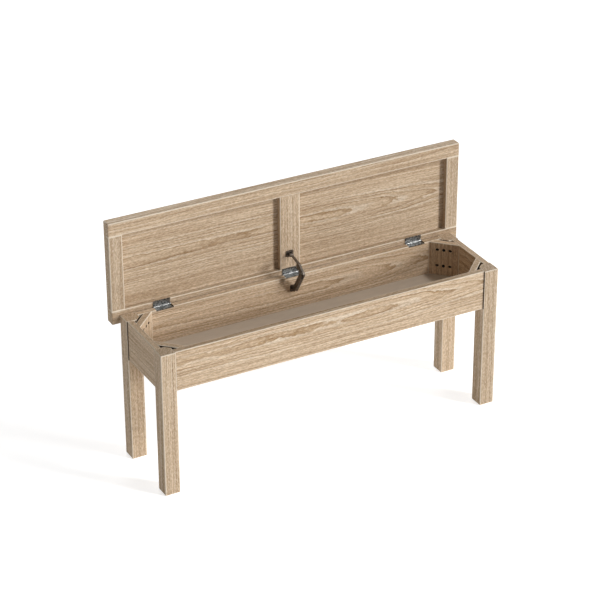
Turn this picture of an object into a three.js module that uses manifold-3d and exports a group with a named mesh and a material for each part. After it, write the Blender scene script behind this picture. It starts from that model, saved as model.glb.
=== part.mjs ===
// Storage bench with a hinged seat: a knock-down oak frame, a lid on three butt hinges and an elbowed stay.
// Millimetres, X along the bench, +Y to the back, +Z up. The seat stands open, which is the rest pose.
// The origin is on the floor, in the middle of the box that the open bench fills.
import * as THREE from 'three';
import { RoundedBoxGeometry } from 'three/addons/geometries/RoundedBoxGeometry.js';
import { mergeVertices } from 'three/addons/utils/BufferGeometryUtils.js';
import Module from 'manifold-3d';

const wasm = await Module();
wasm.setup();

// Bench body
const bodyLength = 1054; // over the legs
const bodyDepth = 261; // over the legs
const rimHeight = 438; // tops of legs, rails and corner blocks
const legWidth = 45;
const legArris = 2; // radius that eases the legs' edges
const railHeight = 120;
const railThickness = 18;
const railArris = 1.5;
const longRailSetback = 4; // front and back rails behind the legs' faces
const endRailSetback = 3;

// Corner blocks, and the cut behind them in each leg's inner corner
const blockThickness = 18;
const blockArris = 1;
const blockToLeg = 5; // slot between the block and the leg
const blockToRail = 0.1;
const legNotch = 15; // cut from each side of the leg's inner corner
const boltDrops = { upper: 22.5, lower: 73.5 }; // bolt rows below the rim
const boltToScrew = 18.5; // along the block's face
const screwPocketDiameter = 8;
const screwPocketDepth = 12;
const blockScrewHole = 4;

// Leg bolts and the threaded inserts that they turn into
const boltDiameter = 6;
const boltLength = 45; // under the head
const boltHeadDiameter = 9;
const boltHeadHeight = 6;
const boltSocketDiameter = 5; // across the corners of the hexagon
const boltSocketDepth = 3;
const counterboreDepth = 7;
const insertDiameter = 10;
const insertLength = 20;
const insertSink = 1; // below the face of the leg's notch
const fastenerFit = 0.3; // clearance round and under a fastener

// Floor of the storage well
const basePanelThickness = 6;
const basePanelFit = 0.5;
const cleatWidth = 14;
const cleatHeight = 10;
const cleatRise = 1; // above the rails' lower edges
const cleatEndGap = 1;

// Seat lid: a board on an under-frame
const lidEndOverhang = 23; // past the legs, at each end
const lidOverhang = 22.5; // past the legs, at the front and the back
const boardThickness = 15;
const frameThickness = 16;
const frameWidth = 40;
const muntinWidth = 62;
const lidArris = 2;
const frameArris = 1.5;

// Butt hinges
const hingeToLeg = 81; // from the middle of an outer hinge to the leg beside it
const hingeLength = 51;
const leafWidth = 18; // from the pin's axis to the leaf's free edge
const leafThickness = 2;
const knuckleRadius = 3;
const hingePinDiameter = 3;
const hingePinHeadDiameter = 4.8;
const hingePinHeadThickness = 0.6;
const hingeFit = 0.3; // between knuckles, round the pin and under its heads
const axisInset = 2; // pin's axis in front of the legs' back faces
const closedGap = 1.5; // between the closed lid and the rim
const mortiseEndGap = 1;
const leafScrewPitch = 16.5;
const leafScrewReach = 10.5; // from the pin's axis
const leafScrewHole = 3.6;
const leafScrewHead = 6.4;
const countersinkDepth = 1.4;

// Lid stay
const stayX = -2;
const stayLidReach = 62; // pivot on the lid, from the hinge axis
const stayLidOffset = 11; // the same pivot, off the lid's underside
const stayRailDrop = 38; // pivot on the back rail, below the rim
const stayRailOffset = 10;
const upperArmLength = 72;
const upperArmThickness = 6;
const eyeRadius = 5;
const neckDepth = 5;
const neckRise = 9;
const housingRadius = 9.5;
const housingRise = 5;
const lowerArmLength = 80;
const lowerArmDepth = 14;
const cheekThickness = 1.6;
const armFit = 0.4; // between arm, cheeks and lugs
const webToElbow = 14;
const webToPivot = 9;
const stayPinDiameter = 4;
const elbowPinDiameter = 5;
const elbowSlack = 3.2; // free play round the elbow pin, because the arms follow the lid at a steady rate
const rivetHeadShare = 1.6; // head diameter over pin diameter
const rivetHeadThickness = 1.2;
const rivetFit = 0.2;
const bracketWidth = 23;
const bracketHeight = 20;
const bracketThickness = 2;
const bracketCorner = 3;
const bracketScrewInset = 3.8;
const bracketScrewHole = 3;

// Where the neck's bend and the housing's start lie along the upper arm
const neckBendShare = 0.38;
const housingStartShare = 0.64;

// Fineness of curves, in facets
const boltSides = 16;
const holeSides = 12;
const knuckleSides = 20;
const arrisSides = 3; // each quarter of an eased edge has twice as many
const archSides = 6; // each round end has twice as many
const neckSteps = 6;

const overrun = 1; // how far a cut runs past the faces that it opens
const root2 = Math.SQRT2;

// Places that follow from the sizes above; plan positions are for the back right corner
const halfLength = bodyLength / 2;
const halfDepth = bodyDepth / 2;
const legInnerX = halfLength - legWidth;
const legInnerY = halfDepth - legWidth;
const railInnerX = halfLength - endRailSetback - railThickness;
const railInnerY = halfDepth - longRailSetback - railThickness;
const railBottom = rimHeight - railHeight;
// A line across the corner at 45 degrees is named by the sum of its x and y
const notchSum = legInnerX + legInnerY + legNotch;
const blockBackSum = notchSum - blockToLeg * root2;
const blockFrontSum = blockBackSum - blockThickness * root2;
const boltStartX = (blockFrontSum + legInnerX - legInnerY) / 2;
const boltStartY = blockFrontSum - boltStartX;
const hingeY = halfDepth - axisInset;
const hingeZ = rimHeight + closedGap - knuckleRadius;
const hingePitch = legInnerX - hingeToLeg;
const lidLength = bodyLength + 2 * lidEndOverhang;
const lidDepth = bodyDepth + 2 * lidOverhang;
const lidBackY = lidDepth / 2 - hingeY;
const lidThickness = boardThickness + frameThickness;
const openLidBack = hingeY + knuckleRadius + lidThickness;

const oak = material(0xc9b08f, 0.62, 0);
const panelBoard = material(0x94887a, 0.7, 0);
const zinc = material(0x9aa2a6, 0.35, 1);
const bronze = material(0x2f2721, 0.45, 0.9);
const blackSteel = material(0x1d1c1b, 0.5, 0.9);
const insertAlloy = material(0xb3a06d, 0.4, 1);

function material(color, roughness, metalness) {
  return new THREE.MeshStandardMaterial({ color, roughness, metalness });
}

// Solids: joining, cutting and mirroring

function toSolid(geometry) {
  const bare = geometry.clone();
  bare.deleteAttribute('normal');
  bare.deleteAttribute('uv');
  const welded = mergeVertices(bare);
  return new wasm.Manifold(new wasm.Mesh({
    numProp: 3,
    vertProperties: welded.attributes.position.array,
    triVerts: Uint32Array.from(welded.index.array),
  }));
}

function toGeometry(body) {
  const mesh = body.getMesh();
  const geometry = new THREE.BufferGeometry();
  geometry.setAttribute('position', new THREE.Float32BufferAttribute(mesh.vertProperties, 3));
  geometry.setIndex(Array.from(mesh.triVerts));
  geometry.computeVertexNormals();
  return geometry;
}

function combine(operation, first, rest) {
  let body = toSolid(first);
  for (const other of rest) body = body[operation](toSolid(other));
  return toGeometry(body);
}

const join = (first, ...rest) => combine('add', first, rest);
const cut = (first, ...rest) => combine('subtract', first, rest);
const common = (first, ...rest) => combine('intersect', first, rest);

// A mirror image, with its faces turned outwards again. Each sign is 1 or -1.
function mirrored(geometry, signX, signY, signZ = 1) {
  const copy = mergeVertices(geometry.clone().deleteAttribute('normal').deleteAttribute('uv'));
  copy.scale(signX, signY, signZ);
  if (signX * signY * signZ < 0) copy.setIndex(Array.from(copy.index.array).reverse());
  copy.computeVertexNormals();
  return copy;
}

// Shapes drawn flat and given a length. A prism lies along its axis, centred on the origin.

const across = {
  x: new THREE.Matrix4().makeBasis(unit(0, 1, 0), unit(0, 0, 1), unit(1, 0, 0)), // drawn in y, z
  y: new THREE.Matrix4().makeBasis(unit(0, 0, 1), unit(1, 0, 0), unit(0, 1, 0)), // drawn in z, x
  z: new THREE.Matrix4(), // drawn in x, y
};

function unit(x, y, z) {
  return new THREE.Vector3(x, y, z);
}

function prism(shape, length, axis, { arris = 0, sides = arrisSides } = {}) {
  const bevel = { bevelEnabled: arris > 0, bevelThickness: arris, bevelSize: arris, bevelOffset: -arris };
  const depth = length - 2 * arris;
  const settings = { depth, curveSegments: sides, bevelSegments: 2, ...bevel };
  const geometry = new THREE.ExtrudeGeometry(shape, settings);
  return geometry.translate(0, 0, -depth / 2).applyMatrix4(across[axis]);
}

function polygon(points) {
  return new THREE.Shape(points.map(([x, y]) => new THREE.Vector2(x, y)));
}

function rectangle(width, height) {
  const [x, y] = [width / 2, height / 2];
  return polygon([[-x, -y], [x, -y], [x, y], [-x, y]]);
}

function roundedRectangle(width, height, radius) {
  const [x, y] = [width / 2 - radius, height / 2 - radius];
  const shape = new THREE.Shape();
  shape.absarc(x, -y, radius, -Math.PI / 2, 0);
  shape.absarc(x, y, radius, 0, Math.PI / 2);
  shape.absarc(-x, y, radius, Math.PI / 2, Math.PI);
  shape.absarc(-x, -y, radius, Math.PI, Math.PI * 1.5);
  return shape;
}

// A strip with round ends from one point to another
function stadium([x0, y0], [x1, y1], radius) {
  const turn = Math.atan2(y1 - y0, x1 - x0);
  const shape = new THREE.Shape();
  shape.absarc(x1, y1, radius, turn - Math.PI / 2, turn + Math.PI / 2);
  shape.absarc(x0, y0, radius, turn + Math.PI / 2, turn + Math.PI * 1.5);
  return shape;
}

// A strip of even depth along a curve
function strip(curve, depth, steps) {
  const near = [];
  const far = [];
  for (let i = 0; i <= steps; i += 1) {
    const point = curve.getPoint(i / steps);
    const tangent = curve.getTangent(i / steps);
    const side = new THREE.Vector2(-tangent.y, tangent.x).multiplyScalar(depth / 2);
    near.push(point.clone().sub(side));
    far.unshift(point.clone().add(side));
  }
  return new THREE.Shape([...near, ...far]);
}

function rod(diameter, length, axis, sides = holeSides) {
  const geometry = new THREE.CylinderGeometry(diameter / 2, diameter / 2, length, sides);
  return geometry.rotateX(Math.PI / 2).applyMatrix4(across[axis]);
}

function block(x, y, z) {
  return new THREE.BoxGeometry(x, y, z);
}

const mirrorCorners = [
  { name: 'front_left', signX: -1, signY: -1 },
  { name: 'front_right', signX: 1, signY: -1 },
  { name: 'back_left', signX: -1, signY: 1 },
  { name: 'back_right', signX: 1, signY: 1 },
];

function addMesh(parent, name, geometry, finish, position = [0, 0, 0], rotation = [0, 0, 0]) {
  const mesh = new THREE.Mesh(geometry, finish);
  mesh.name = name;
  mesh.position.set(...position);
  mesh.rotation.set(...rotation);
  parent.add(mesh);
}

// Legs

function boltRod(diameter, from, to, drop, sides = boltSides) {
  const along = rod(diameter, to - from, 'x', sides).translate((from + to) / 2, 0, 0);
  return along.rotateZ(Math.PI / 4).translate(boltStartX, boltStartY, rimHeight - drop);
}

function notchCut() {
  const [x, y] = [legInnerX - overrun, legInnerY - overrun];
  const outline = polygon([[x, y], [notchSum - y, y], [x, notchSum - x]]);
  const height = railHeight + overrun;
  return prism(outline, height, 'z').translate(0, 0, railBottom + height / 2);
}

function legGeometry() {
  const post = new RoundedBoxGeometry(legWidth, legWidth, rimHeight, 2, legArris);
  post.translate(legInnerX + legWidth / 2, legInnerY + legWidth / 2, rimHeight / 2);
  const face = blockThickness + blockToLeg;
  const insertEnd = face + insertSink + insertLength + fastenerFit;
  const boltEnd = counterboreDepth + boltLength;
  const bores = Object.values(boltDrops).flatMap((drop) => [
    boltRod(insertDiameter + 2 * fastenerFit, face - overrun, insertEnd, drop),
    boltRod(boltDiameter + 2 * fastenerFit, face, boltEnd + fastenerFit, drop),
  ]);
  return cut(post, notchCut(), ...bores);
}

function addLegs(bench) {
  const leg = legGeometry();
  for (const { name, signX, signY } of mirrorCorners) {
    addMesh(bench, `leg_${name}`, mirrored(leg, signX, signY), oak);
  }
}

// Rails of the storage well

function hingePlaces() {
  return [{ name: 'left', x: -hingePitch }, { name: 'centre', x: 0 }, { name: 'right', x: hingePitch }];
}

function backRailGeometry(rail) {
  const depth = 2 * knuckleRadius - closedGap;
  const width = hingeLength + 2 * mortiseEndGap;
  const mortises = hingePlaces().map(({ x }) => (
    block(width, railThickness + overrun, depth + overrun)
      .translate(x, 0, (railHeight - depth + overrun) / 2)
  ));
  return cut(rail, ...mortises);
}

function addRails(bench) {
  const profile = roundedRectangle(railThickness, railHeight, railArris);
  const longRail = prism(profile, 2 * legInnerX, 'x');
  const endRail = prism(roundedRectangle(railHeight, railThickness, railArris), 2 * legInnerY, 'y');
  const y = railInnerY + railThickness / 2;
  const x = railInnerX + railThickness / 2;
  const z = railBottom + railHeight / 2;
  addMesh(bench, 'rail_front', longRail, oak, [0, -y, z]);
  addMesh(bench, 'rail_back', backRailGeometry(longRail), oak, [0, y, z]);
  addMesh(bench, 'rail_left', endRail, oak, [-x, 0, z]);
  addMesh(bench, 'rail_right', endRail, oak, [x, 0, z]);
}

// Corner blocks, with a counterbored bolt hole between two angled screw holes in each row

function screwCuts(drop) {
  const side = boltToScrew / root2;
  const start = -screwPocketDiameter / 2 - overrun;
  const cuts = [];
  for (const [axis, x, y] of [['y', boltStartX - side, boltStartY + side],
    ['x', boltStartX + side, boltStartY - side]]) {
    const pieces = [
      [screwPocketDiameter, start, screwPocketDepth],
      [blockScrewHole, start, blockThickness],
    ];
    for (const [diameter, from, to] of pieces) {
      const hole = rod(diameter, to - from, axis);
      const middle = (from + to) / 2;
      hole.translate(axis === 'x' ? middle : 0, axis === 'y' ? middle : 0, 0);
      cuts.push(hole.translate(x, y, rimHeight - drop));
    }
  }
  return cuts;
}

function cornerBlockGeometry() {
  const [x, y] = [railInnerX - blockToRail, railInnerY - blockToRail];
  const outline = polygon([
    [x, blockFrontSum - x], [x, blockBackSum - x], [blockBackSum - y, y], [blockFrontSum - y, y],
  ]);
  const body = prism(outline, railHeight, 'z', { arris: blockArris });
  body.translate(0, 0, railBottom + railHeight / 2);
  const holes = Object.values(boltDrops).flatMap((drop) => [
    boltRod(boltHeadDiameter + 2 * fastenerFit, -overrun, counterboreDepth, drop),
    boltRod(boltDiameter + 2 * fastenerFit, 0, blockThickness + overrun, drop),
    ...screwCuts(drop),
  ]);
  return cut(body, ...holes);
}

function addCornerBlocks(bench) {
  const corner = cornerBlockGeometry();
  for (const { name, signX, signY } of mirrorCorners) {
    addMesh(bench, `corner_block_${name}`, mirrored(corner, signX, signY), oak);
  }
}

// Leg bolts and inserts, turned about x, with the bolt's head at the start

function boltGeometry() {
  const head = rod(boltHeadDiameter, boltHeadHeight, 'x', boltSides).translate(boltHeadHeight / 2, 0, 0);
  const length = boltHeadHeight / 2 + boltLength;
  const shank = rod(boltDiameter, length, 'x', boltSides).translate((boltHeadHeight + length) / 2, 0, 0);
  const socketLength = boltSocketDepth + overrun;
  const socket = rod(boltSocketDiameter, socketLength, 'x', 6);
  socket.translate(boltSocketDepth - socketLength / 2, 0, 0);
  return cut(join(head, shank), socket);
}

function insertGeometry() {
  const bore = rod(boltDiameter + 2 * fastenerFit, insertLength + overrun, 'x', boltSides);
  return cut(rod(insertDiameter, insertLength, 'x', boltSides), bore);
}

function addLegFasteners(bench) {
  const bolt = boltGeometry();
  const insert = insertGeometry();
  const headStart = (counterboreDepth - fastenerFit - boltHeadHeight) / root2;
  const insertMiddle = (blockThickness + blockToLeg + insertSink + insertLength / 2) / root2;
  for (const { name, signX, signY } of mirrorCorners) {
    const turn = [0, 0, Math.atan2(signY, signX)];
    for (const [row, drop] of Object.entries(boltDrops)) {
      const z = rimHeight - drop;
      const place = (along) => [signX * (boltStartX + along), signY * (boltStartY + along), z];
      addMesh(bench, `leg_bolt_${name}_${row}`, bolt, blackSteel, place(headStart), turn);
      addMesh(bench, `leg_insert_${name}_${row}`, insert, insertAlloy, place(insertMiddle), turn);
    }
  }
}

// Floor of the well, lying on cleats between the corner blocks

function basePanelGeometry() {
  const [x, y] = [railInnerX - basePanelFit, railInnerY - basePanelFit];
  const sum = blockFrontSum - basePanelFit * root2;
  const corner = [[x, sum - x], [sum - y, y]];
  const outline = [
    ...corner,
    ...corner.map(([px, py]) => [-px, py]).reverse(),
    ...corner.map(([px, py]) => [-px, -py]),
    ...corner.map(([px, py]) => [px, -py]).reverse(),
  ];
  return prism(polygon(outline), basePanelThickness, 'z');
}

function addBase(bench) {
  const cleatZ = railBottom + cleatRise + cleatHeight / 2;
  const panelZ = railBottom + cleatRise + cleatHeight + basePanelThickness / 2;
  const cleatX = railInnerX - cleatWidth / 2;
  const cleatY = railInnerY - cleatWidth / 2;
  const longCleat = block(2 * (blockFrontSum - railInnerY - cleatEndGap), cleatWidth, cleatHeight);
  const endCleat = block(cleatWidth, 2 * (blockFrontSum - railInnerX - cleatEndGap), cleatHeight);
  addMesh(bench, 'base_panel', basePanelGeometry(), panelBoard, [0, 0, panelZ]);
  addMesh(bench, 'cleat_front', longCleat, oak, [0, -cleatY, cleatZ]);
  addMesh(bench, 'cleat_back', longCleat, oak, [0, cleatY, cleatZ]);
  addMesh(bench, 'cleat_left', endCleat, oak, [-cleatX, 0, cleatZ]);
  addMesh(bench, 'cleat_right', endCleat, oak, [cleatX, 0, cleatZ]);
}

// Seat lid, drawn closed about the hinge axis: its back edge is at lidBackY, its underside at knuckleRadius

function lidBlank() {
  const blank = new RoundedBoxGeometry(lidLength, lidDepth, lidThickness, 2, lidArris);
  return blank.translate(0, lidBackY - lidDepth / 2, knuckleRadius + lidThickness / 2);
}

// A frame member: eased on its lower edges, and trimmed to the blank and to the board above it
function frameMember(blank, axis, width, length, x, y) {
  const height = frameThickness + frameArris;
  const profile = axis === 'x' ? [width, height] : [height, width];
  const bar = prism(roundedRectangle(...profile, frameArris), length, axis);
  bar.translate(x, y, knuckleRadius + height / 2);
  const above = block(lidLength, lidDepth, boardThickness);
  above.translate(0, lidBackY - lidDepth / 2, knuckleRadius + frameThickness + boardThickness / 2);
  return cut(common(blank, bar), above);
}

function addLid(lid) {
  const blank = lidBlank();
  const spare = lidArris + overrun; // lets a member run past the blank's rounded edge
  const slabHeight = boardThickness + overrun;
  const boardSlab = block(lidLength, lidDepth, slabHeight);
  boardSlab.translate(0, lidBackY - lidDepth / 2, knuckleRadius + frameThickness + slabHeight / 2);
  addMesh(lid, 'seat_board', common(blank, boardSlab), oak);

  const railWidth = frameWidth + spare;
  const backRailY = lidBackY - frameWidth + railWidth / 2;
  const frontRailY = lidBackY - lidDepth + frameWidth - railWidth / 2;
  addMesh(lid, 'lid_rail_back', frameMember(blank, 'x', railWidth, lidLength, 0, backRailY), oak);
  addMesh(lid, 'lid_rail_front', frameMember(blank, 'x', railWidth, lidLength, 0, frontRailY), oak);

  const between = lidDepth - 2 * frameWidth;
  const middleY = lidBackY - lidDepth / 2;
  const stileX = lidLength / 2 - frameWidth + railWidth / 2;
  addMesh(lid, 'lid_stile_left', frameMember(blank, 'y', railWidth, between, -stileX, middleY), oak);
  addMesh(lid, 'lid_stile_right', frameMember(blank, 'y', railWidth, between, stileX, middleY), oak);
  addMesh(lid, 'lid_muntin', frameMember(blank, 'y', muntinWidth, between, 0, middleY), oak);
}

// Butt hinges, drawn closed about the pin: the body leaf lies below it and the lid leaf above

function knuckleShape() {
  const plateTop = leafThickness - knuckleRadius;
  const shape = new THREE.Shape();
  shape.moveTo(-leafWidth, -knuckleRadius);
  shape.absarc(0, 0, knuckleRadius, -Math.PI / 2, Math.PI - Math.asin(plateTop / knuckleRadius));
  shape.lineTo(-leafWidth, plateTop);
  return shape;
}

function leafScrewCut(x) {
  const [hole, head] = [leafScrewHole / 2, leafScrewHead / 2];
  const shoulder = leafThickness - countersinkDepth;
  const top = leafThickness + overrun;
  const points = [
    [0, -overrun], [hole, -overrun], [hole, shoulder], [head, leafThickness], [head, top], [0, top],
  ];
  const profile = points.map(([r, h]) => new THREE.Vector2(r, h));
  const cutter = new THREE.LatheGeometry(profile, holeSides).rotateX(Math.PI / 2);
  return cutter.translate(x, -leafScrewReach, -knuckleRadius);
}

function leafGeometry(knuckles) {
  const width = leafWidth - knuckleRadius - hingeFit;
  const plate = prism(rectangle(width, leafThickness), hingeLength, 'x');
  plate.translate(0, -leafWidth + width / 2, leafThickness / 2 - knuckleRadius);
  const rolls = knuckles.map(([from, to]) => (
    prism(knuckleShape(), to - from, 'x', { sides: archSides }).translate((from + to) / 2, 0, 0)
  ));
  const bore = rod(hingePinDiameter + 2 * hingeFit, hingeLength + overrun, 'x', boltSides);
  const screws = [-leafScrewPitch, 0, leafScrewPitch].map(leafScrewCut);
  return cut(join(plate, ...rolls), bore, ...screws);
}

function hingePinGeometry() {
  const halfPin = hingeLength / 2 + hingeFit;
  const shaft = rod(hingePinDiameter, 2 * halfPin + hingePinHeadThickness, 'x');
  const heads = [-1, 1].map((side) => (
    rod(hingePinHeadDiameter, hingePinHeadThickness, 'x')
      .translate(side * (halfPin + hingePinHeadThickness / 2), 0, 0)
  ));
  return join(shaft, ...heads);
}

function addHinges(bench, lid) {
  const end = hingeLength / 2;
  const near = hingeLength / 6 + hingeFit / 2;
  const far = hingeLength / 6 - hingeFit / 2;
  const bodyLeaf = leafGeometry([[-end, -near], [near, end]]);
  const lidLeaf = mirrored(leafGeometry([[-far, far]]), 1, 1, -1);
  const pin = hingePinGeometry();
  for (const { name, x } of hingePlaces()) {
    addMesh(bench, `hinge_${name}_body_leaf`, bodyLeaf, zinc, [x, hingeY, hingeZ]);
    addMesh(bench, `hinge_${name}_pin`, pin, zinc, [x, hingeY, hingeZ]);
    addMesh(lid, `hinge_${name}_lid_leaf`, lidLeaf, zinc, [x, 0, 0]);
  }
}

// Lid stay. Each piece is drawn in the plane that it swings in, centred on it across the bench.

function bracketPlate() {
  const shape = roundedRectangle(bracketWidth, bracketHeight, bracketCorner);
  const plate = prism(shape, bracketThickness, 'z').translate(0, 0, bracketThickness / 2);
  const screws = [-1, 1].map((side) => (
    rod(bracketScrewHole, bracketThickness + 2 * overrun, 'z')
      .translate(side * (bracketWidth / 2 - bracketScrewInset), 0, bracketThickness / 2)
  ));
  return cut(plate, ...screws);
}

// A plate in x, y with lugs that stand up from it in z to the pivot's height
function bracketGeometry(height, lugs) {
  const root = bracketThickness / 2;
  const pieces = lugs.map(([from, to]) => {
    const foot = prism(rectangle(2 * eyeRadius, height - root), to - from, 'x');
    foot.translate((from + to) / 2, 0, (height + root) / 2);
    const eye = rod(2 * eyeRadius, to - from, 'x', boltSides).translate((from + to) / 2, 0, height);
    return join(foot, eye);
  });
  const pinHole = rod(stayPinDiameter + 2 * rivetFit, bracketWidth, 'x').translate(0, 0, height);
  return cut(join(bracketPlate(), ...pieces), pinHole);
}

function upperArmGeometry() {
  const thickness = upperArmThickness;
  const start = [-upperArmLength * housingStartShare, housingRise];
  const elbow = [-upperArmLength, 0];
  const housing = prism(stadium(start, elbow, housingRadius), thickness, 'x', { sides: archSides });
  const neckCurve = new THREE.QuadraticBezierCurve(
    new THREE.Vector2(0, 0),
    new THREE.Vector2(-upperArmLength * neckBendShare, neckRise),
    new THREE.Vector2(start[0], start[1] + housingRadius - neckDepth),
  );
  const neck = prism(strip(neckCurve, neckDepth, neckSteps), thickness, 'x');
  const eye = rod(2 * eyeRadius, thickness, 'x', boltSides);
  const eyeHole = rod(stayPinDiameter + 2 * rivetFit, thickness + overrun, 'x');
  const elbowHole = rod(elbowPinDiameter + 2 * elbowSlack, thickness + overrun, 'x', knuckleSides);
  return cut(join(housing, neck, eye), eyeHole, elbowHole.translate(0, elbow[0], elbow[1]));
}

// A channel: two cheeks with round ends, and a web on the side that faces the front
function lowerArmGeometry() {
  const inner = upperArmThickness / 2 + armFit;
  const cheekShape = stadium([0, 0], [-lowerArmLength, 0], lowerArmDepth / 2);
  const cheek = prism(cheekShape, cheekThickness, 'x', { sides: archSides });
  const cheekX = inner + cheekThickness / 2;
  const webLength = lowerArmLength - webToElbow - webToPivot;
  const web = block(2 * inner + cheekThickness, webLength, cheekThickness);
  web.translate(0, -webToPivot - webLength / 2, (cheekThickness - lowerArmDepth) / 2);
  const pivotHole = rod(stayPinDiameter + 2 * rivetFit, 3 * inner, 'x');
  const elbowHole = rod(elbowPinDiameter + 2 * rivetFit, 3 * inner, 'x').translate(0, -lowerArmLength, 0);
  const cheeks = [-1, 1].map((side) => cheek.clone().translate(side * cheekX, 0, 0));
  return cut(join(web, ...cheeks), pivotHole, elbowHole);
}

function rivetGeometry(diameter, span) {
  const reach = span / 2 + rivetFit;
  const shaft = rod(diameter, 2 * reach + rivetHeadThickness, 'x');
  const heads = [-1, 1].map((side) => (
    rod(diameter * rivetHeadShare, rivetHeadThickness, 'x', boltSides)
      .translate(side * (reach + rivetHeadThickness / 2), 0, 0)
  ));
  return join(shaft, ...heads);
}

// The elbow, where two arms of known length meet, on the side away from the back rail
function elbowPlace(lidPivot, railPivot) {
  const span = lidPivot.clone().sub(railPivot);
  const reach = span.length();
  const along = (lowerArmLength ** 2 - upperArmLength ** 2 + reach ** 2) / (2 * reach);
  const aside = Math.sqrt(lowerArmLength ** 2 - along ** 2);
  const direction = span.normalize();
  return new THREE.Vector2(
    railPivot.x + along * direction.x - aside * direction.y,
    railPivot.y + along * direction.y + aside * direction.x,
  );
}

function addStay(bench, lid) {
  const lug = upperArmThickness / 2;
  const inner = lug + armFit;
  const outer = inner + cheekThickness;
  const lidPivot = new THREE.Vector2(hingeY + knuckleRadius - stayLidOffset, hingeZ + stayLidReach);
  const railPivot = new THREE.Vector2(railInnerY - stayRailOffset, rimHeight - stayRailDrop);
  const elbow = elbowPlace(lidPivot, railPivot);
  const upperTurn = Math.atan2(lidPivot.y - elbow.y, lidPivot.x - elbow.x);
  const lowerTurn = Math.atan2(railPivot.y - elbow.y, railPivot.x - elbow.x);
  const at = (point) => [stayX, point.x, point.y];

  const lidBracket = bracketGeometry(stayLidOffset, [[-outer, -inner], [inner, outer]]);
  const lidPlace = [stayX, -stayLidReach, knuckleRadius];
  addMesh(lid, 'stay_lid_bracket', lidBracket, bronze, lidPlace, [Math.PI, 0, 0]);
  const railBracket = bracketGeometry(stayRailOffset, [[-lug, lug]]);
  const railPlace = [stayX, railInnerY, railPivot.y];
  addMesh(bench, 'stay_rail_bracket', railBracket, bronze, railPlace, [Math.PI / 2, 0, 0]);
  addMesh(bench, 'stay_upper_arm', upperArmGeometry(), bronze, at(lidPivot), [upperTurn, 0, 0]);
  addMesh(bench, 'stay_lower_arm', lowerArmGeometry(), bronze, at(railPivot), [lowerTurn, 0, 0]);
  addMesh(bench, 'stay_lid_pin', rivetGeometry(stayPinDiameter, 2 * outer), bronze, at(lidPivot));
  addMesh(bench, 'stay_rail_pin', rivetGeometry(stayPinDiameter, 2 * outer), bronze, at(railPivot));
  addMesh(bench, 'stay_elbow_pin', rivetGeometry(elbowPinDiameter, 2 * outer), bronze, at(elbow));
}

// The whole bench, with the lid swung open to stand upright behind the body

function buildBench() {
  const bench = new THREE.Group();
  const lid = new THREE.Group();
  lid.position.set(0, hingeY, hingeZ);
  lid.rotation.x = -Math.PI / 2;
  bench.add(lid);
  addLegs(bench);
  addRails(bench);
  addCornerBlocks(bench);
  addLegFasteners(bench);
  addBase(bench);
  addLid(lid);
  addHinges(bench, lid);
  addStay(bench, lid);
  bench.position.y = -(openLidBack - halfDepth) / 2;
  return bench;
}

export default buildBench();
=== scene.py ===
"""Looks for a limed oak storage bench: its timber, floor panel, butt hinges, lid stay, screws and studio."""

import math
from typing import NamedTuple

import bpy
from mathutils import Matrix, Vector


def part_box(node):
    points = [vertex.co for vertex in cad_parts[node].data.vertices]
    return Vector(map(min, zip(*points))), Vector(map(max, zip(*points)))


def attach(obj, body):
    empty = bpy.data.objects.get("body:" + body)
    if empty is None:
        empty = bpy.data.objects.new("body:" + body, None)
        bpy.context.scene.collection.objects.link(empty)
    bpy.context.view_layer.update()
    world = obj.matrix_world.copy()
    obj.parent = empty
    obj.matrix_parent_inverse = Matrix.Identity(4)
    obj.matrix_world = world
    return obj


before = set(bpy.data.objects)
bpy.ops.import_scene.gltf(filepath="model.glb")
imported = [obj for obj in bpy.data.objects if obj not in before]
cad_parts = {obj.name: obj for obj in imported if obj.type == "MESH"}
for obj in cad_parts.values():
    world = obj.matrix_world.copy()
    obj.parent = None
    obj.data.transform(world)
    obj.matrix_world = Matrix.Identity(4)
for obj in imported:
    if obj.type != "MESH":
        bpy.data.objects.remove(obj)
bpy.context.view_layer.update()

bl_info = {
    "name": "Oak storage bench looks",
    "version": (1, 0, 0),
    "blender": (4, 5, 0),
    "location": "3D View > Sidebar > Bench",
    "description": "Finishes, screws and studio for an oak storage bench with a hinged seat",
    "category": "Object",
}

MM = 0.001
X, Y, Z = Vector((1, 0, 0)), Vector((0, 1, 0)), Vector((0, 0, 1))
HINGES = ("left", "centre", "right")
# Which way each corner lies from the bench's middle
CORNERS = {
    "front_left": Vector((-1, -1, 0)),
    "front_right": Vector((1, -1, 0)),
    "back_left": Vector((-1, 1, 0)),
    "back_right": Vector((1, 1, 0)),
}
# How pale the leg and the corner block are at each corner, because no two planks match
BOARD_TONES = {
    "front_left": (0.98, 1.12),
    "front_right": (0.92, 1.1),
    "back_left": (0.97, 1.04),
    "back_right": (1.03, 1.2),
}


# Colours and nodes

def linear(hex_colour):
    """An sRGB colour such as "c8af8f" as linear RGBA."""
    channels = [int(hex_colour[i:i + 2], 16) / 255 for i in (0, 2, 4)]
    return [c / 12.92 if c <= 0.04045 else ((c + 0.055) / 1.055) ** 2.4 for c in channels] + [1]


def add_node(tree, kind, inputs=None, stops=None, **settings):
    """Adds a node. An input is a value or another node's socket; stops are a ramp's (place, colour) pairs."""
    node = tree.nodes.new(kind)
    for name, value in settings.items():
        setattr(node, name, value)
    for key, value in (inputs or {}).items():
        if isinstance(value, bpy.types.NodeSocket):
            tree.links.new(value, node.inputs[key])
        else:
            node.inputs[key].default_value = value
    for i, (place, colour) in enumerate(stops or ()):
        element = node.color_ramp.elements[i] if i < 2 else node.color_ramp.elements.new(place)
        element.position, element.color = place, colour
    return node


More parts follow.
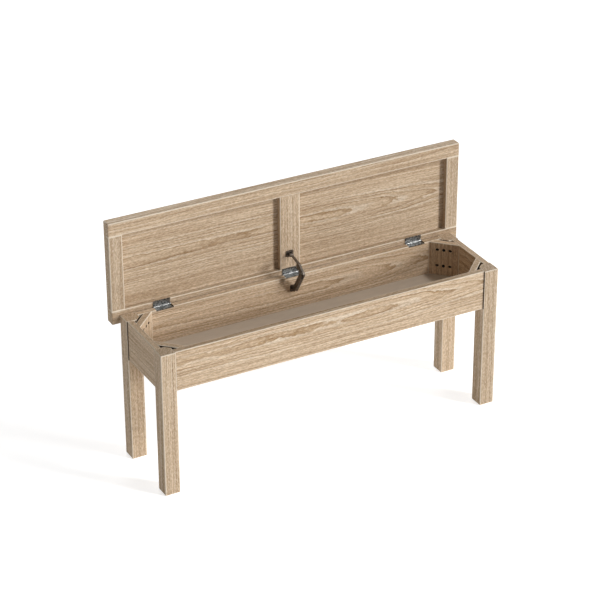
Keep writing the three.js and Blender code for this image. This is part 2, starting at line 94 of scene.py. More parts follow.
def new_material(name):
    """An empty node material, and its surface output socket."""
    material = bpy.data.materials.new(name)
    material.use_nodes = True
    material.node_tree.nodes.clear()
    output = add_node(material.node_tree, "ShaderNodeOutputMaterial")
    return material, material.node_tree, output.inputs["Surface"]


def new_group(name, inputs, outputs):
    """A shader group with named sockets, and the sockets of its input and output nodes."""
    tree = bpy.data.node_groups.new(name, "ShaderNodeTree")
    for socket, kind in inputs.items():
        tree.interface.new_socket(socket, in_out="INPUT", socket_type=kind)
    for socket, kind in outputs.items():
        tree.interface.new_socket(socket, in_out="OUTPUT", socket_type=kind)
    return tree, add_node(tree, "NodeGroupInput").outputs, add_node(tree, "NodeGroupOutput").inputs


def dress(nodes, material):
    """Gives CAD nodes their finish."""
    for name in nodes:
        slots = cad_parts[name].data.materials
        slots.clear()
        slots.append(material)


# Sizes and colours that a user would change

class OakFinish(bpy.types.PropertyGroup):
    """Limed oak under a matt lacquer. Its pores, about 0.3 mm wide, are drawn wider so that they show."""
    pale: bpy.props.StringProperty(
        name="Limed pores", description="Pores and early wood, sRGB hex", default="f8ead6")
    body: bpy.props.StringProperty(
        name="Body wood", description="Wood between the lines, sRGB hex", default="ead4b8")
    # Eased edges are paler partly where they were sanded and partly as a painted highlight along them
    worn_and_highlight: bpy.props.StringProperty(
        name="Eased edges", description="Where the edges were sanded, with a painted highlight, sRGB hex", default="faf0de")
    # The dark colour of cuts is partly sawn, unlacquered wood and partly painted shade in slots, notches,
    # holes and beside the rails
    bare_and_painted_shade: bpy.props.StringProperty(
        name="Sawn wood and painted shade", description="Inside slots, notches and holes, sRGB hex",
        default="3c2c1f")
    line: bpy.props.StringProperty(
        name="Late wood lines", description="Darker line of each ring, sRGB hex", default="bc9e78")
    ring_gap: bpy.props.FloatProperty(
        name="Ring gap", description="Width of a year's growth", default=6.5 * MM, unit="LENGTH")
    pore_length: bpy.props.FloatProperty(
        name="Pore length", description="Length of the open pores", default=8 * MM, unit="LENGTH")
    pore_width: bpy.props.FloatProperty(
        name="Pore width", description="Width of the open pores", default=1.1 * MM, unit="LENGTH")
    edge_width: bpy.props.FloatProperty(
        name="Edge width", description="How far the pale eased edge shows", default=3.2 * MM, unit="LENGTH")


class PanelFinish(bpy.types.PropertyGroup):
    """Thin plain board in the floor of the well."""
    face: bpy.props.StringProperty(
        name="Face", description="Printed face, sRGB hex", default="dccfbe")
    fleck: bpy.props.StringProperty(
        name="Fleck", description="Faint clouds in the face, sRGB hex", default="c4b6a5")


class MetalFinish(bpy.types.PropertyGroup):
    """Hinges, stay and fasteners."""
    zinc: bpy.props.StringProperty(
        name="Zinc plate", description="Hinges and their screws, sRGB hex", default="a2a3a2")
    bronze: bpy.props.StringProperty(
        name="Bronze lacquer", description="Lid stay and its screws, sRGB hex", default="7a6f64")
    black: bpy.props.StringProperty(
        name="Black oxide", description="Leg bolts and block screws, sRGB hex", default="1a1919")
    brass: bpy.props.StringProperty(
        name="Insert", description="Threaded inserts in the legs, sRGB hex", default="b09a60")


class ScrewSizes(bpy.types.PropertyGroup):
    """Cross-head wood screws."""
    leaf_pitch: bpy.props.FloatProperty(
        name="Leaf screw pitch", description="Between a leaf's screws", default=16.5 * MM, unit="LENGTH")
    leaf_reach: bpy.props.FloatProperty(
        name="Leaf screw reach", description="From the hinge pin's axis", default=10.5 * MM,
        unit="LENGTH")
    leaf_head: bpy.props.FloatProperty(
        name="Leaf screw head", description="Diameter", default=6.1 * MM, unit="LENGTH")
    bracket_inset: bpy.props.FloatProperty(
        name="Bracket screw inset", description="From the plate's end", default=3.8 * MM,
        unit="LENGTH")
    bracket_head: bpy.props.FloatProperty(
        name="Bracket screw head", description="Diameter", default=5.2 * MM, unit="LENGTH")
    pocket_offset: bpy.props.FloatProperty(
        name="Block screw offset", description="From the leg bolt, along the block's face",
        default=18.5 * MM, unit="LENGTH")
    pocket_depth: bpy.props.FloatProperty(
        name="Block screw depth", description="Depth of the pocket", default=12 * MM, unit="LENGTH")
    pocket_head: bpy.props.FloatProperty(
        name="Block screw head", description="Diameter", default=7 * MM, unit="LENGTH")


class StudioSettings(bpy.types.PropertyGroup):
    """Camera, lamps and room."""
    camera_place: bpy.props.FloatVectorProperty(
        name="Camera", description="Where the camera stands", default=(-2.7055, -5.0026, 3.4578),
        subtype="TRANSLATION")
    camera_turn: bpy.props.FloatVectorProperty(
        name="Camera turn", description="Azimuth, elevation and roll", unit="ROTATION",
        default=[math.radians(degrees) for degrees in (-28.128, 28.237, -0.241)])
    lens: bpy.props.FloatProperty(
        name="Lens", description="Focal length in mm", default=138.87, unit="CAMERA")
    sky: bpy.props.FloatProperty(name="Sky", description="Strength of the room's light", default=0.12)
    key: bpy.props.FloatProperty(name="Key", description="Strength of the low front lamp", default=1.74)
    top: bpy.props.FloatProperty(
        name="Top light", description="Strength of the high front lamp", default=1.1)
    back: bpy.props.FloatProperty(name="Back light", description="Strength of the back lamp", default=1.8)


# Oak

OAK_INPUTS = {
    "Board": "NodeSocketVector",
    "Pith": "NodeSocketVector",
    "Dip start": "NodeSocketFloat",
    "Dip": "NodeSocketFloat",
    "Pores": "NodeSocketFloat",
    "Tone": "NodeSocketFloat",
    "Figure": "NodeSocketFloat",
    "Seed": "NodeSocketFloat",
    "Edge": "NodeSocketFloat",
    "Cut": "NodeSocketFloat",
}
OAK_OUTPUTS = {"Color": "NodeSocketColor", "Roughness": "NodeSocketFloat", "Height": "NodeSocketFloat"}
EDGE_INPUTS = {
    "Board": "NodeSocketVector",
    "Skin middle": "NodeSocketVector",
    "Skin half size": "NodeSocketVector",
    "Eased middle": "NodeSocketVector",
    "Eased half size": "NodeSocketVector",
}
EDGE_OUTPUTS = {"Edge": "NodeSocketFloat", "Cut": "NodeSocketFloat"}


class Marks(NamedTuple):
    """Noise marks: their length along the grain, their width across it, and how broken up they are."""
    along: float
    across: float
    detail: float = 2.0
    roughness: float = 0.5


# How the grain strays from a straight line, and how far the rings move with it
WANDER, WANDER_REACH = Marks(260 * MM, 60 * MM), 16 * MM
RIPPLE, RIPPLE_REACH = Marks(16 * MM, 9 * MM), 3.6 * MM
# The pith turns into its dip smoothly, over this length
DIP_BLEND = 80 * MM
# The ring gaps are uneven: they change over about 1 / RING_CHANGE rings, and stray by up to RING_WANDER rings
RING_CHANGE = 0.4
RING_WANDER = 2.2
# Where each tone lies across a year's ring, from early to late wood. The ramp's two ends come first.
RING_STOPS = (
    (0.0, "pale"), (1.0, "pale"), (0.16, "pale"), (0.32, "body"), (0.66, "body"), (0.84, "line"),
    (0.92, "line"))
# The rings show in patches, by these noise levels and strengths
PATCHES = Marks(150 * MM, 24 * MM, 2.0, 0.6)
PATCH_LEVELS, PATCH_STRENGTHS = (0.35, 0.6), (0.3, 1.0)
# They weaken between these distances from the pith, by these strengths
HEART_REACHES, HEART_STRENGTHS = (45 * MM, 100 * MM), (1.0, 0.55)
# Marks that darken the rings: the noise levels of dark and of clear wood, and the dark's colour. Fibres and
# clusters of pores are finer than a pixel, so they are drawn as coarse as they need to show.
LAYERS = {
    "streak": (Marks(420 * MM, 7 * MM, 3.0, 0.6), 0.36, 0.60, "dfd7ce"),
    "speckle": (Marks(9 * MM, 2.4 * MM, 2.0, 0.7), 0.34, 0.66, "d3ccc5"),
    "fibre": (Marks(26 * MM, 2 * MM, 3.0, 0.65), 0.30, 0.70, "e3ded8"),
}
CLEAR = "ffffff"
# Noise levels between which the pores appear, and how much of their colour flat and upright boards show
PORE_LEVELS = (0.54, 0.66)
FLAT_PORES = 0.18
UPRIGHT_PORES = 0.4
# How much of the pale tone an eased edge takes, partly as wear and partly as painted highlight
EDGE_STRENGTH = 0.7
# How deep inside a board a surface begins to count as cut, and counts fully. A cut's dark colour is partly
# sawn wood and partly painted shade.
CUT_START = 0.7 * MM
CUT_FULL = 1.6 * MM
# How deep the painted shade beside a rail reaches into the leg, and how much of the cut colour it takes
PAINTED_SHADE_DEPTH = 1.0 * MM
PAINTED_SHADE_STRENGTH = 0.95
OAK_ROUGHNESS = (0.68, 0.86)
# Where arched figure begins, in mm past a board's middle, and how steeply its pith dips there
ARCHED = (160, 0.053)


def stretched_noise(tree, place, marks):
    """Noise drawn out along the grain."""
    scale = (1 / marks.along, 1 / marks.across, 1 / marks.across)
    drawn = add_node(tree, "ShaderNodeVectorMath", {0: place, 1: scale}, operation="MULTIPLY")
    return add_node(tree, "ShaderNodeTexNoise", {
        "Vector": drawn.outputs[0], "Scale": 1.0, "Detail": marks.detail, "Roughness": marks.roughness,
    }).outputs


def strayed(tree, place, marks, reach):
    """Moves a place at random. reach is how far it moves for a whole step of the noise."""
    noise = stretched_noise(tree, place, marks)
    offset = add_node(tree, "ShaderNodeVectorMath", {0: noise["Color"], 1: (0.5, 0.5, 0.5)},
                      operation="SUBTRACT")
    return add_node(tree, "ShaderNodeVectorMath", {0: offset.outputs[0], 1: (reach,) * 3, 2: place},
                    operation="MULTIPLY_ADD").outputs[0]


def pith_distance(tree, given, place, seed):
    """How far a place is from the pith, as the straying grain makes it."""
    place = strayed(tree, strayed(tree, place, WANDER, WANDER_REACH), RIPPLE, RIPPLE_REACH)
    away = add_node(tree, "ShaderNodeVectorMath", {0: place, 1: seed}, operation="SUBTRACT")
    away = add_node(tree, "ShaderNodeVectorMath", {0: away.outputs[0], 1: given["Pith"]},
                    operation="SUBTRACT")
    # The pith dips away from the face past one place along the board, which ends the rings in tongues there
    along = add_node(tree, "ShaderNodeSeparateXYZ", {0: given["Board"]}).outputs[0]
    past = add_node(tree, "ShaderNodeMath", {0: along, 1: given["Dip start"]}, operation="SUBTRACT")
    past = add_node(tree, "ShaderNodeMath", {0: past.outputs[0], 1: 0.0, 2: DIP_BLEND},
                    operation="SMOOTH_MAX")
    dip = add_node(tree, "ShaderNodeMath", {0: past.outputs[0], 1: given["Dip"]}, operation="MULTIPLY")
    dip = add_node(tree, "ShaderNodeCombineXYZ", {2: dip.outputs[0]})
    away = add_node(tree, "ShaderNodeVectorMath", {0: away.outputs[0], 1: dip.outputs[0]})
    away = add_node(tree, "ShaderNodeVectorMath", {0: away.outputs[0], 1: (0, 1, 1)}, operation="MULTIPLY")
    return add_node(tree, "ShaderNodeVectorMath", {0: away.outputs[0]}, operation="LENGTH").outputs["Value"]


def ring_colour(tree, look, given, place, reach):
    """Rings at a reach from the pith, pale in the early wood and with a darker line of late wood."""
    rings = add_node(tree, "ShaderNodeMath", {0: reach, 1: look.ring_gap}, operation="DIVIDE")
    uneven = add_node(tree, "ShaderNodeTexNoise", {
        "W": rings.outputs[0], "Scale": RING_CHANGE, "Detail": 1.0}, noise_dimensions="1D")
    rings = add_node(tree, "ShaderNodeMath", {0: uneven.outputs["Fac"], 1: RING_WANDER, 2: rings.outputs[0]},
                     operation="MULTIPLY_ADD")
    year = add_node(tree, "ShaderNodeMath", {0: rings.outputs[0]}, operation="FRACT")
    stops = [(stop, linear(getattr(look, tone))) for stop, tone in RING_STOPS]
    tone = add_node(tree, "ShaderNodeValToRGB", {"Fac": year.outputs[0]}, stops)
    patchy = add_node(tree, "ShaderNodeMapRange", {
        "Value": stretched_noise(tree, place, PATCHES)["Fac"],
        "From Min": PATCH_LEVELS[0], "From Max": PATCH_LEVELS[1],
        "To Min": PATCH_STRENGTHS[0], "To Max": PATCH_STRENGTHS[1]})
    heart = add_node(tree, "ShaderNodeMapRange", {
        "Value": reach, "From Min": HEART_REACHES[0], "From Max": HEART_REACHES[1],
        "To Min": HEART_STRENGTHS[0], "To Max": HEART_STRENGTHS[1]})
    strength = patchy.outputs[0]
    for share in (heart.outputs[0], given["Figure"]):
        strength = add_node(tree, "ShaderNodeMath", {0: strength, 1: share}, operation="MULTIPLY").outputs[0]
    return add_node(tree, "ShaderNodeMix", {0: strength, 6: linear(look.body), 7: tone.outputs[0]},
                    data_type="RGBA").outputs[2]


def oak_group(look):
    """Rings round a pith, with streaks, fibres, pores, pale eased edges that are partly painted highlight,
    and dark cuts that are partly painted shade.
    """
    tree, given, result = new_group("Oak grain", OAK_INPUTS, OAK_OUTPUTS)
    seed = add_node(tree, "ShaderNodeCombineXYZ", {axis: given["Seed"] for axis in range(3)}).outputs[0]
    place = add_node(tree, "ShaderNodeVectorMath", {0: given["Board"], 1: seed}).outputs[0]
    colour = ring_colour(tree, look, given, place, pith_distance(tree, given, place, seed))
    noise = {}
    for name, (marks, low, high, dark) in LAYERS.items():
        noise[name] = stretched_noise(tree, place, marks)["Fac"]
        tone = add_node(tree, "ShaderNodeValToRGB", {"Fac": noise[name]},
                        ((low, linear(dark)), (high, linear(CLEAR))))
        colour = add_node(tree, "ShaderNodeMix", {0: 1.0, 6: colour, 7: tone.outputs[0]},
                          data_type="RGBA", blend_type="MULTIPLY").outputs[2]
    colour = add_node(tree, "ShaderNodeVectorMath", {0: colour, "Scale": given["Tone"]},
                      operation="SCALE").outputs[0]
    pores = add_node(tree, "ShaderNodeMapRange", {
        "Value": stretched_noise(tree, place, Marks(look.pore_length, look.pore_width, 1.0))["Fac"],
        "From Min": PORE_LEVELS[0], "From Max": PORE_LEVELS[1], "To Max": given["Pores"]}).outputs[0]
    # Mixes in the pale pores, the eased edges' pale tone, which is partly painted highlight, and the cuts'
    # dark colour, which is partly painted shade
    for share, tone in ((pores, look.pale), (given["Edge"], look.worn_and_highlight), (given["Cut"], look.bare_and_painted_shade)):
        colour = add_node(tree, "ShaderNodeMix", {0: share, 6: colour, 7: linear(tone)},
                          data_type="RGBA").outputs[2]
    rough = add_node(tree, "ShaderNodeMapRange", {
        "Value": noise["fibre"], "To Min": OAK_ROUGHNESS[0], "To Max": OAK_ROUGHNESS[1]})
    relief = add_node(tree, "ShaderNodeMath", {0: noise["fibre"], 1: pores}, operation="SUBTRACT")
    tree.links.new(colour, result["Color"])
    tree.links.new(rough.outputs[0], result["Roughness"])
    tree.links.new(relief.outputs[0], result["Height"])
    return tree


def depths(tree, place, box_middle, half_size):
    """How deep a place lies under each of a box's three pairs of faces."""
    away = add_node(tree, "ShaderNodeVectorMath", {0: place, 1: box_middle}, operation="SUBTRACT")
    away = add_node(tree, "ShaderNodeVectorMath", {0: away.outputs[0]}, operation="ABSOLUTE")
    below = add_node(tree, "ShaderNodeVectorMath", {0: half_size, 1: away.outputs[0]}, operation="SUBTRACT")
    return add_node(tree, "ShaderNodeSeparateXYZ", {0: below.outputs[0]}).outputs


def edge_group(look):
    """How near a place is to an eased edge, and whether it is inside a cut, 1 where it is and 0 elsewhere."""
    tree, given, result = new_group("Edges and cuts", EDGE_INPUTS, EDGE_OUTPUTS)
    # A face's own depth is nearly 0, so the middle one of the three depths is the way to the edge
    x, y, z = depths(tree, given["Board"], given["Eased middle"], given["Eased half size"])
    least = add_node(tree, "ShaderNodeMath", {0: x, 1: y}, operation="MINIMUM").outputs[0]
    most = add_node(tree, "ShaderNodeMath", {0: x, 1: y}, operation="MAXIMUM").outputs[0]
    most = add_node(tree, "ShaderNodeMath", {0: most, 1: z}, operation="MINIMUM").outputs[0]
    to_edge = add_node(tree, "ShaderNodeMath", {0: least, 1: most}, operation="MAXIMUM").outputs[0]
    edge = add_node(tree, "ShaderNodeMapRange", {
        "Value": to_edge, "From Min": look.edge_width / 3, "From Max": look.edge_width,
        "To Min": EDGE_STRENGTH, "To Max": 0.0})
    tree.links.new(edge.outputs[0], result["Edge"])
    # A surface with wood all round it belongs to a notch, a mortise or a hole, whose dark colour is partly
    # painted shade
    x, y, z = depths(tree, given["Board"], given["Skin middle"], given["Skin half size"])
    least = add_node(tree, "ShaderNodeMath", {0: x, 1: y}, operation="MINIMUM").outputs[0]
    least = add_node(tree, "ShaderNodeMath", {0: least, 1: z}, operation="MINIMUM").outputs[0]
    cut = add_node(tree, "ShaderNodeMapRange", {"Value": least, "From Min": CUT_START, "From Max": CUT_FULL})
    tree.links.new(cut.outputs[0], result["Cut"])
    return tree


def painted_rail_shade(tree, board, cut, half_size, outward, rail_height, setback):
    """Adds to a leg's cuts the two narrow strips beside its rails: painted shade, where the joints lie in
    shade.

    board is a place in the leg's own frame, upwards first. rail_height is from the leg's top down to the
    rails' lower edges, and setback is the strips' width.
    """
    turned = add_node(tree, "ShaderNodeVectorMath", {0: board, 1: (1, outward.x, outward.y)},
                      operation="MULTIPLY")
    up, x, y = add_node(tree, "ShaderNodeSeparateXYZ", {0: turned.outputs[0]}).outputs
    inner = add_node(tree, "ShaderNodeMath", {0: x, 1: y}, operation="MINIMUM").outputs[0]
    outer = add_node(tree, "ShaderNodeMath", {0: x, 1: y}, operation="MAXIMUM").outputs[0]
    tests = (
        (inner, "LESS_THAN", PAINTED_SHADE_DEPTH - half_size.y),
        (outer, "GREATER_THAN", half_size.y - setback),
        (up, "GREATER_THAN", half_size.x - rail_height),
    )
    share = PAINTED_SHADE_STRENGTH
    for value, operation, limit in tests:
        passed = add_node(tree, "ShaderNodeMath", {0: value, 1: limit}, operation=operation).outputs[0]
        share = add_node(tree, "ShaderNodeMath", {0: passed, 1: share}, operation="MULTIPLY").outputs[0]
    return add_node(tree, "ShaderNodeMath", {0: cut, 1: share}, operation="MAXIMUM").outputs[0]


def oak_board(groups, name, grain, across, *, pith, dip, seed, pores=FLAT_PORES, joined=(), buried=(),
              shade=None, tone=1.0, figure=1.0):
    """The finish of one board: planed oak, limed and matt lacquered, so it is pale, warm and hardly shines.

    pith is (across, below its middle) in mm. dip is (where along the board it starts in mm, its slope).
    joined are the ways in which the board meets another one, where its edges aren't eased. buried are the
    ways in which its face lies in a narrow slot, where that face takes painted shade. shade is a leg's (way
    outward, height of the rails beside it, their setback), for the painted shade beside its rails. tone is
    how pale the board is, and figure is how strongly its rings show.
    """
    grain_group, edges_group = groups
    axes = (grain, across, grain.cross(across))
    points = [vertex.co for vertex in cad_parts[name].data.vertices]
    low = Vector([min(point.dot(axis) for point in points) for axis in axes])
    high = Vector([max(point.dot(axis) for point in points) for axis in axes])
    centre = (low + high) / 2
    material, tree, surface = new_material(f"Limed oak, matt lacquer, {name}")
    place = add_node(tree, "ShaderNodeTexCoord").outputs["Object"]
    board = add_node(tree, "ShaderNodeMapping", {
        "Vector": place, "Location": -centre, "Rotation": Matrix(axes).to_euler()}).outputs[0]
    boxes = {"Board": board}
    # A buried face counts as a cut, so the slot's shade is painted on it
    for kind, ways in (("Skin", buried), ("Eased", joined)):
        # A box drawn out a metre that way has no face there
        near, far = low, high
        for way in ways:
            turned = Vector([way.dot(axis) for axis in axes])
            near = Vector(map(min, near, near + turned))
            far = Vector(map(max, far, far + turned))
        boxes[f"{kind} middle"] = (near + far) / 2 - centre
        boxes[f"{kind} half size"] = (far - near) / 2
    edges = add_node(tree, "ShaderNodeGroup", boxes, node_tree=edges_group)
    cut = edges.outputs["Cut"]
    # A leg's strips beside its rails take painted shade, through its cuts
    if shade:
        cut = painted_rail_shade(tree, board, cut, (high - low) / 2, *shade)
    wood = add_node(tree, "ShaderNodeGroup", {
        "Board": board,
        "Pith": (0, pith[0] * MM, -pith[1] * MM),
        "Dip start": dip[0] * MM,
        "Dip": dip[1],
        "Pores": pores,
        "Tone": tone,
        "Figure": figure,
        "Seed": seed,
        "Edge": edges.outputs["Edge"],
        "Cut": cut,
    }, node_tree=grain_group)
    bump = add_node(tree, "ShaderNodeBump", {
        "Strength": 0.25, "Distance": 0.3 * MM, "Height": wood.outputs["Height"]})
    shader = add_node(tree, "ShaderNodeBsdfPrincipled", {
        "Base Color": wood.outputs["Color"],
        "Roughness": wood.outputs["Roughness"],
        "Specular IOR Level": 0.25,
        "Normal": bump.outputs[0],
    })
    tree.links.new(shader.outputs[0], surface)
    dress([name], material)


def oak_groups(look):
    """The grain group and the edge group, each made once."""
    made = bpy.data.node_groups
    return made.get("Oak grain") or oak_group(look), made.get("Edges and cuts") or edge_group(look)


class BENCH_OT_carcass(bpy.types.Operator):
    """Finish the legs, rails, corner blocks and cleats"""
    bl_idname = "bench.carcass"
    bl_label = "Carcass"

    def execute(self, context):
        groups = oak_groups(context.scene.bench_oak)
        rail_low, (leg_low, leg_high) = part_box("rail_front")[0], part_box("leg_front_left")
        rail_height, setback = leg_high.z - rail_low.z, rail_low.y - leg_low.y
        for i, (corner, outward) in enumerate(CORNERS.items()):
            leg_tone, block_tone = BOARD_TONES[corner]
            oak_board(groups, f"leg_{corner}", Z, X, pith=(60 + 12 * i, 30), dip=(-400, 0.01), seed=1.7 + i,
                      pores=UPRIGHT_PORES, shade=(outward, rail_height, setback), tone=leg_tone)
            along_face = Vector((1, -outward.x * outward.y, 0)).normalized()
            # The block's face in the slot by its leg is painted dark, as painted shade
            oak_board(groups, f"corner_block_{corner}", Z, along_face, pith=(90, 40), dip=(-100, 0.02),
                      seed=11.3 + i, buried=(outward.normalized(),), tone=block_tone, figure=0.5)
        ends = (X, -X)
        oak_board(groups, "rail_front", X, Z, pith=(26, 20), dip=ARCHED, seed=3.1, joined=ends, tone=1.08)
        oak_board(groups, "rail_back", X, Z, pith=(8, 21), dip=ARCHED, seed=5.3, joined=(*ends, Y),
                  tone=1.1, figure=0.8)
        ends = (Y, -Y)
        oak_board(groups, "rail_left", Y, Z, pith=(-30, 60), dip=(-200, 0.03), seed=7.9, joined=ends,
                  tone=1.03, figure=0.6)
        oak_board(groups, "rail_right", Y, Z, pith=(20, 70), dip=(-200, 0.03), seed=8.4, joined=ends,
                  tone=1.12)
        for i, side in enumerate(("front", "back")):
            oak_board(groups, f"cleat_{side}", X, Y, pith=(40, 50), dip=(-400, 0.02), seed=21 + i)
        for i, side in enumerate(("left", "right")):
            oak_board(groups, f"cleat_{side}", Y, X, pith=(40, 50), dip=(-100, 0.02), seed=24 + i)
        return {"FINISHED"}


class BENCH_OT_seat(bpy.types.Operator):
    """Finish the seat board and its under-frame"""
    bl_idname = "bench.seat"
    bl_label = "Seat"

    def execute(self, context):
        groups = oak_groups(context.scene.bench_oak)
        oak_board(groups, "seat_board", X, Z, pith=(15, 21), dip=ARCHED, seed=12.4, joined=(-Y,))
        oak_board(groups, "lid_rail_front", X, Z, pith=(60, 40), dip=(-500, 0.02), seed=9.2,
                  joined=(Y, X, -X))
        oak_board(groups, "lid_rail_back", X, Z, pith=(-70, 60), dip=(-500, 0.02), seed=12.8,
                  joined=(Y, X, -X, -Z), tone=0.9)
        oak_board(groups, "lid_stile_left", Z, X, pith=(80, 50), dip=(-200, 0.02), seed=14.1,
                  pores=UPRIGHT_PORES, joined=(Y,), tone=0.89)
        oak_board(groups, "lid_stile_right", Z, X, pith=(90, 50), dip=(-200, 0.02), seed=15.5,
                  pores=UPRIGHT_PORES, joined=(Y,), tone=0.92)
        oak_board(groups, "lid_muntin", Z, X, pith=(120, 60), dip=(-200, 0.015), seed=16.9,
                  pores=UPRIGHT_PORES, joined=(Y, Z, -Z))
        return {"FINISHED"}


# Floor panel

PANEL_CLOUDS = Marks(60 * MM, 18 * MM, 4.0, 0.6)


def panel_material(look):
    """Thin hardboard with a plain printed face: even and matt, with a faint cloudiness."""
    material, tree, surface = new_material("Hardboard, plain matt face")
    place = add_node(tree, "ShaderNodeTexCoord").outputs["Object"]
    clouds = stretched_noise(tree, place, PANEL_CLOUDS)["Fac"]
    colour = add_node(tree, "ShaderNodeMix", {0: clouds, 6: linear(look.face), 7: linear(look.fleck)},
                      data_type="RGBA")
    bump = add_node(tree, "ShaderNodeBump", {"Strength": 0.1, "Distance": 0.2 * MM, "Height": clouds})
    shader = add_node(tree, "ShaderNodeBsdfPrincipled", {
        "Base Color": colour.outputs[2], "Roughness": 0.6, "Normal": bump.outputs[0]})
    tree.links.new(shader.outputs[0], surface)
    return material


class BENCH_OT_base_panel(bpy.types.Operator):
    """Finish the floor of the storage well"""
    bl_idname = "bench.base_panel"
    bl_label = "Floor panel"

    def execute(self, context):
        dress(["base_panel"], panel_material(context.scene.bench_panel))
        return {"FINISHED"}


# Metal

# How far the roughness swings about its middle, and the noise levels of dark and bright clouds
ROUGHNESS_SWING = 0.25
CLOUD_LEVELS = (0.41, 0.59)


def metal_material(name, hex_colour, *, roughness, metallic, grain, dull):
    """A metal with a cloudy surface.

    grain is the size of its clouds in metres, coarser than the real ones so that they show. dull is how much
    of the colour's light its dark clouds keep.
    """
    found = bpy.data.materials.get(name)
    if found:
        return found
    material, tree, surface = new_material(name)
    place = add_node(tree, "ShaderNodeTexCoord").outputs["Object"]
    clouds = stretched_noise(tree, place, Marks(grain, grain, 3.0, 0.6))["Fac"]
    rough = add_node(tree, "ShaderNodeMapRange", {
        "Value": clouds,
        "To Min": roughness * (1 - ROUGHNESS_SWING),
        "To Max": roughness * (1 + ROUGHNESS_SWING),
    })
    bright = linear(hex_colour)
    dark = [channel * dull for channel in bright[:3]] + [1]
    colour = add_node(tree, "ShaderNodeValToRGB", {"Fac": clouds},
                      ((CLOUD_LEVELS[0], dark), (CLOUD_LEVELS[1], bright)))
    bump = add_node(tree, "ShaderNodeBump", {"Strength": 0.15, "Distance": 0.1 * MM, "Height": clouds})
    shader = add_node(tree, "ShaderNodeBsdfPrincipled", {
        "Base Color": colour.outputs[0],
        "Metallic": metallic,
        "Roughness": rough.outputs[0],
        "Normal": bump.outputs[0],
    })
    tree.links.new(shader.outputs[0], surface)
    return material


def zinc_plate(look):
    """Zinc on pressed steel: cool grey, with a dark and light spangle."""
    return metal_material(
        "Zinc-plated steel", look.zinc, roughness=0.36, metallic=1.0, grain=4.5 * MM, dull=0.28)


def bronze_lacquer(look):
    """Dark bronze lacquer on pressed steel: a deep brown-grey, with a satin sheen."""
    return metal_material(
        "Bronze-lacquered steel", look.bronze, roughness=0.34, metallic=0.6, grain=8 * MM, dull=0.55)


def black_oxide(look):
    """Black oxide on a forged bolt: dark and a little oily."""
    return metal_material(
        "Black-oxide steel", look.black, roughness=0.4, metallic=0.8, grain=2 * MM, dull=0.4)


def insert_alloy(look):
    """Yellow-passivated zinc alloy, as cast: a soft brassy yellow."""
    return metal_material(
        "Yellow-passivated zinc alloy", look.brass, roughness=0.4, metallic=1.0, grain=2 * MM, dull=0.4)


# Screws, set on points that carry the way they face

SCREW_INPUTS = {
    "Points": "NodeSocketGeometry",
    "Head diameter": "NodeSocketFloat",
    "Head height": "NodeSocketFloat",
    "Neck diameter": "NodeSocketFloat",
    "Seed": "NodeSocketInt",
    "Material": "NodeSocketMaterial",
}
HEAD_SIDES = 28
# A screw's own sizes, as shares of the sizes given. The recess is a cross of two bars.
SCREW_SHARES = {
    "head radius": ("Head diameter", 0.5),
    "neck radius": ("Neck diameter", 0.5),
    "bar length": ("Head diameter", 0.55),
    "bar width": ("Head diameter", 0.14),
    "sink": ("Head height", -1.0),
}
# Fastenings, as the CAD parts have them
LEAF_THICKNESS = 2 * MM
BRACKET_THICKNESS = 2 * MM
# Heights of the screws' heads
LEAF_HEAD_HEIGHT = 1.4 * MM
PAN_HEAD_HEIGHT = 1.5 * MM
POCKET_HEAD_HEIGHT = 2.5 * MM


